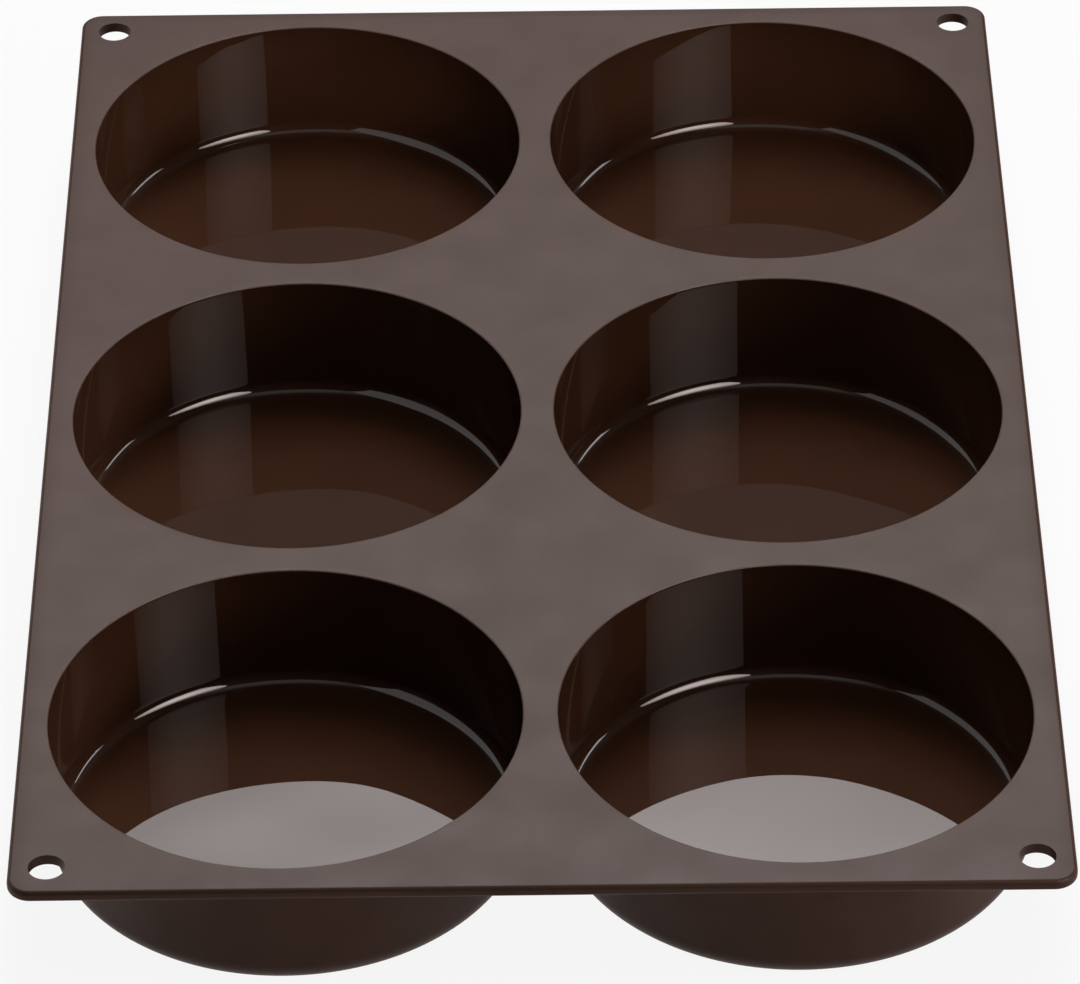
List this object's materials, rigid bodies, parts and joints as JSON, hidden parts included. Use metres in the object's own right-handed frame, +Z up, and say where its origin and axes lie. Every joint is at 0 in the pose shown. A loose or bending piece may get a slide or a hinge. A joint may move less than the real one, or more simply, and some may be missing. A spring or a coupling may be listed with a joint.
{
  "type": "hamburger bun pan",
  "caption": "Flexible silicone bun mould: a thin rectangular deck with a grid of shallow round cups under it and a hanging hole at each corner.",
  "frame": {"origin": "under the middle of the pan, on the plane that the cups stand on", "axes": "+X to the right across the two columns, +Y to the back along the three rows, +Z up out of the cups"},
  "size_m": [0.1992, 0.3004, 0.0284],
  "materials": {
    "satin_silicone": "dark brown silicone with a fine satin texture",
    "glossy_silicone": "dark brown silicone, polished inside the cups and satin outside"
  },
  "bodies": {
    "root": {"deck": "satin_silicone", "cup_front_left": "glossy_silicone", "cup_front_right": "glossy_silicone", "cup_middle_left": "glossy_silicone", "cup_middle_right": "glossy_silicone", "cup_back_left": "glossy_silicone", "cup_back_right": "glossy_silicone"}
  },
  "joints": []
}
